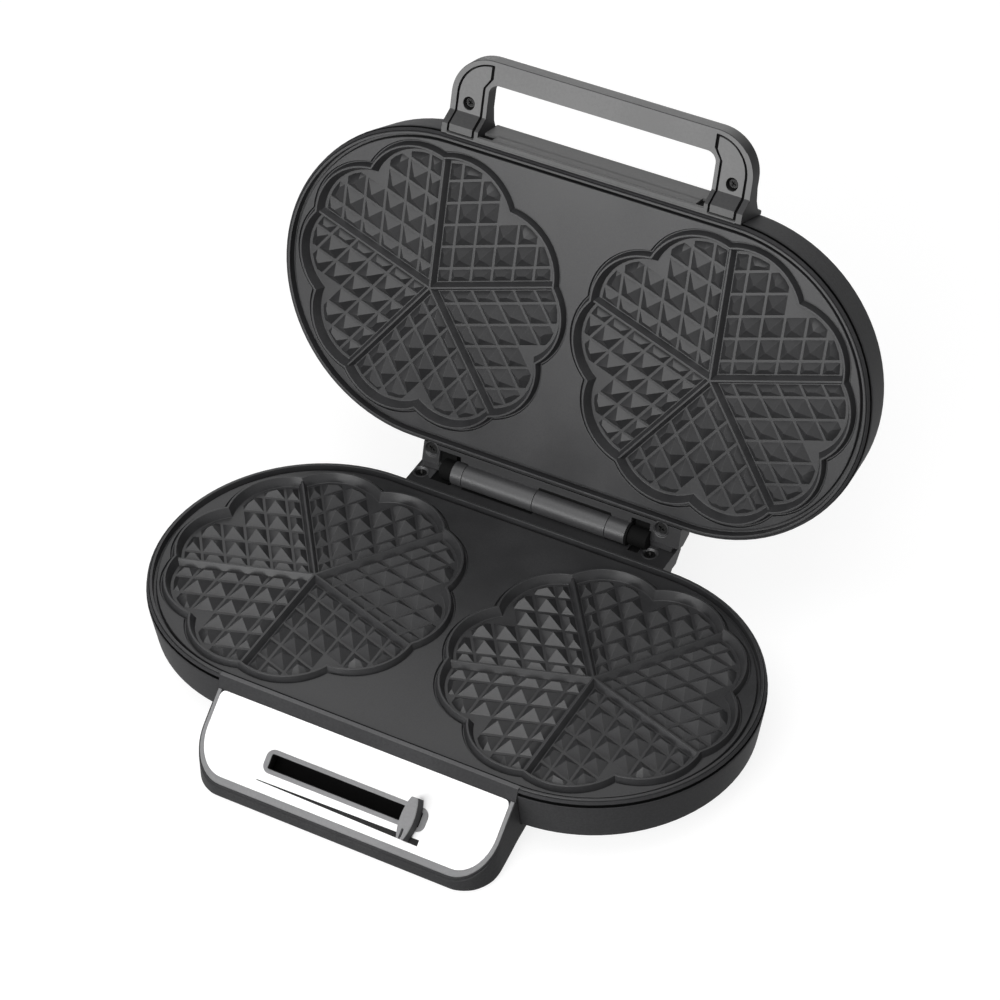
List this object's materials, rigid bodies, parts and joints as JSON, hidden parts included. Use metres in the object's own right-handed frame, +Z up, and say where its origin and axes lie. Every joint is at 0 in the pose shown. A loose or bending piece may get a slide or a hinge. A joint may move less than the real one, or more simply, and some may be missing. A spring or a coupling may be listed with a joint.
{
  "type": "double heart waffle maker",
  "caption": "Twin heart-waffle iron, lid open: mirrored relief plates in stadium housings, looped lid handle, sloped front panel with a slide temperature control.",
  "frame": {"origin": "centre of the stored pose's bounding box in plan, at the table under the rubber feet", "axes": "+X along the pair of moulds to the user's right, +Y from the control panel towards the hinge, +Z up"},
  "size_m": [0.3486, 0.3112, 0.2762],
  "materials": {
    "housing_charcoal": "fine texture",
    "hinge_charcoal": "satin",
    "panel_white": "gloss",
    "trim_grey": "satin",
    "black_plastic": "satin",
    "nonstick_aluminium": "non-stick coating on die-cast aluminium",
    "heater_steel": "oxidised",
    "reflector_sheet": "mill",
    "screw_steel": "zinc plated",
    "black_screw": "black oxide",
    "foot_rubber": "matte",
    "ceramic_white": "unglazed"
  },
  "bodies": {
    "base": {"lower_housing": "housing_charcoal", "control_housing": "housing_charcoal", "control_border": "trim_grey", "control_fascia": "panel_white", "slot_bezel": "trim_grey", "slider_guide": "black_plastic", "control_screws": "screw_steel", "lower_cooking_plate": "nonstick_aluminium", "lower_heating_element": "heater_steel", "lower_reflector": "reflector_sheet", "lower_reflector_screws": "screw_steel", "lower_plate_screws": "screw_steel", "bottom_cover": "housing_charcoal", "bottom_cover_screws": "screw_steel", "rubber_feet": "foot_rubber", "thermostat": "ceramic_white", "terminal_block": "ceramic_white", "cord_gland": "black_plastic", "base_hinge_block": "hinge_charcoal", "base_hinge_inserts": "black_plastic", "base_hinge_screws": "black_screw", "hinge_pin": "screw_steel"},
    "temperature_slider": {"slider_carriage": "black_plastic", "slider_knob": "hinge_charcoal", "slider_knob_cap": "trim_grey"},
    "lid": {"lid_housing": "housing_charcoal", "upper_cooking_plate": "nonstick_aluminium", "upper_heating_element": "heater_steel", "upper_reflector": "reflector_sheet", "upper_reflector_screws": "screw_steel", "upper_plate_screws": "screw_steel", "lid_screw_plugs": "housing_charcoal", "lid_hinge_block": "hinge_charcoal", "lid_hinge_inserts": "black_plastic", "lid_hinge_screws": "black_screw", "handle_frame": "hinge_charcoal", "handle_inlay_left": "hinge_charcoal", "handle_inlay_right": "hinge_charcoal", "handle_screws": "black_screw"}
  },
  "joints": [
    {"name": "lid_hinge", "type": "hinge", "parent": "base", "child": "lid", "pos_m": [0, 0.07581, 0.05], "axis": [1, 0, 0], "range_deg": [0, 106]},
    {"name": "temperature_slide", "type": "slide", "parent": "base", "child": "temperature_slider", "axis": [-1, 0, 0], "range_m": [0, 0.08]}
  ]
}
